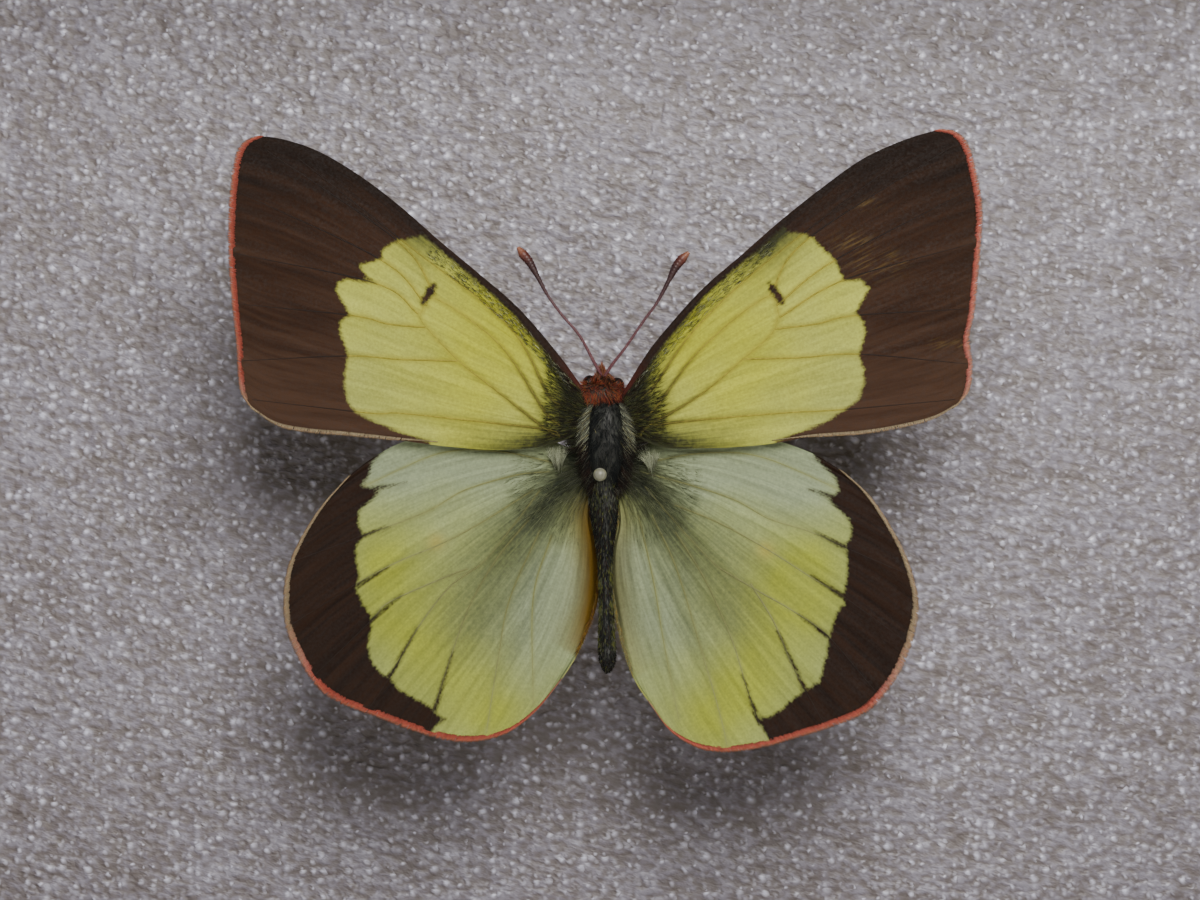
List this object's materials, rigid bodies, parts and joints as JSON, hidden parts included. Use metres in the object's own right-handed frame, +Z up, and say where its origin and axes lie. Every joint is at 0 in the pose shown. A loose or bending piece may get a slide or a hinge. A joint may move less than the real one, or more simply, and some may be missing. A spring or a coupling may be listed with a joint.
{
  "type": "framed butterfly specimen",
  "caption": "Pinned butterfly with spread yellow and dark-bordered wings on a grey foam pad, in a plain open-fronted wooden box frame with a sawtooth hanger.",
  "frame": {"origin": "under the middle of the frame's lower rail, at the centre of the whole part's footprint", "axes": "+X to the viewer's right along the lower rail, -Y towards the viewer in front of the specimen, +Z up"},
  "size_m": [0.124, 0.0496, 0.104],
  "materials": {
    "oiled_walnut": "satin",
    "hardboard": "matte",
    "grey_foam": "satin",
    "zinc_plated_steel": "satin",
    "pin_steel": "gloss",
    "yellow_wing_scales": "matte",
    "pale_wing_scales": "matte",
    "dark_body_hair": "matte",
    "red_brown_antenna": "satin"
  },
  "bodies": {
    "root": {"frame_rail_top": "oiled_walnut", "frame_rail_bottom": "oiled_walnut", "frame_rail_left": "oiled_walnut", "frame_rail_right": "oiled_walnut", "backing_board": "hardboard", "foam_pad": "grey_foam", "framer_point_top": "zinc_plated_steel", "framer_point_bottom": "zinc_plated_steel", "framer_point_left": "zinc_plated_steel", "framer_point_right": "zinc_plated_steel", "sawtooth_hanger": "zinc_plated_steel", "hanger_nail_left": "zinc_plated_steel", "hanger_nail_right": "zinc_plated_steel", "insect_pin": "pin_steel", "butterfly_body": "dark_body_hair", "forewing_left": "yellow_wing_scales", "forewing_right": "yellow_wing_scales", "hindwing_left": "pale_wing_scales", "hindwing_right": "pale_wing_scales", "antenna_left": "red_brown_antenna", "antenna_right": "red_brown_antenna"}
  },
  "joints": []
}
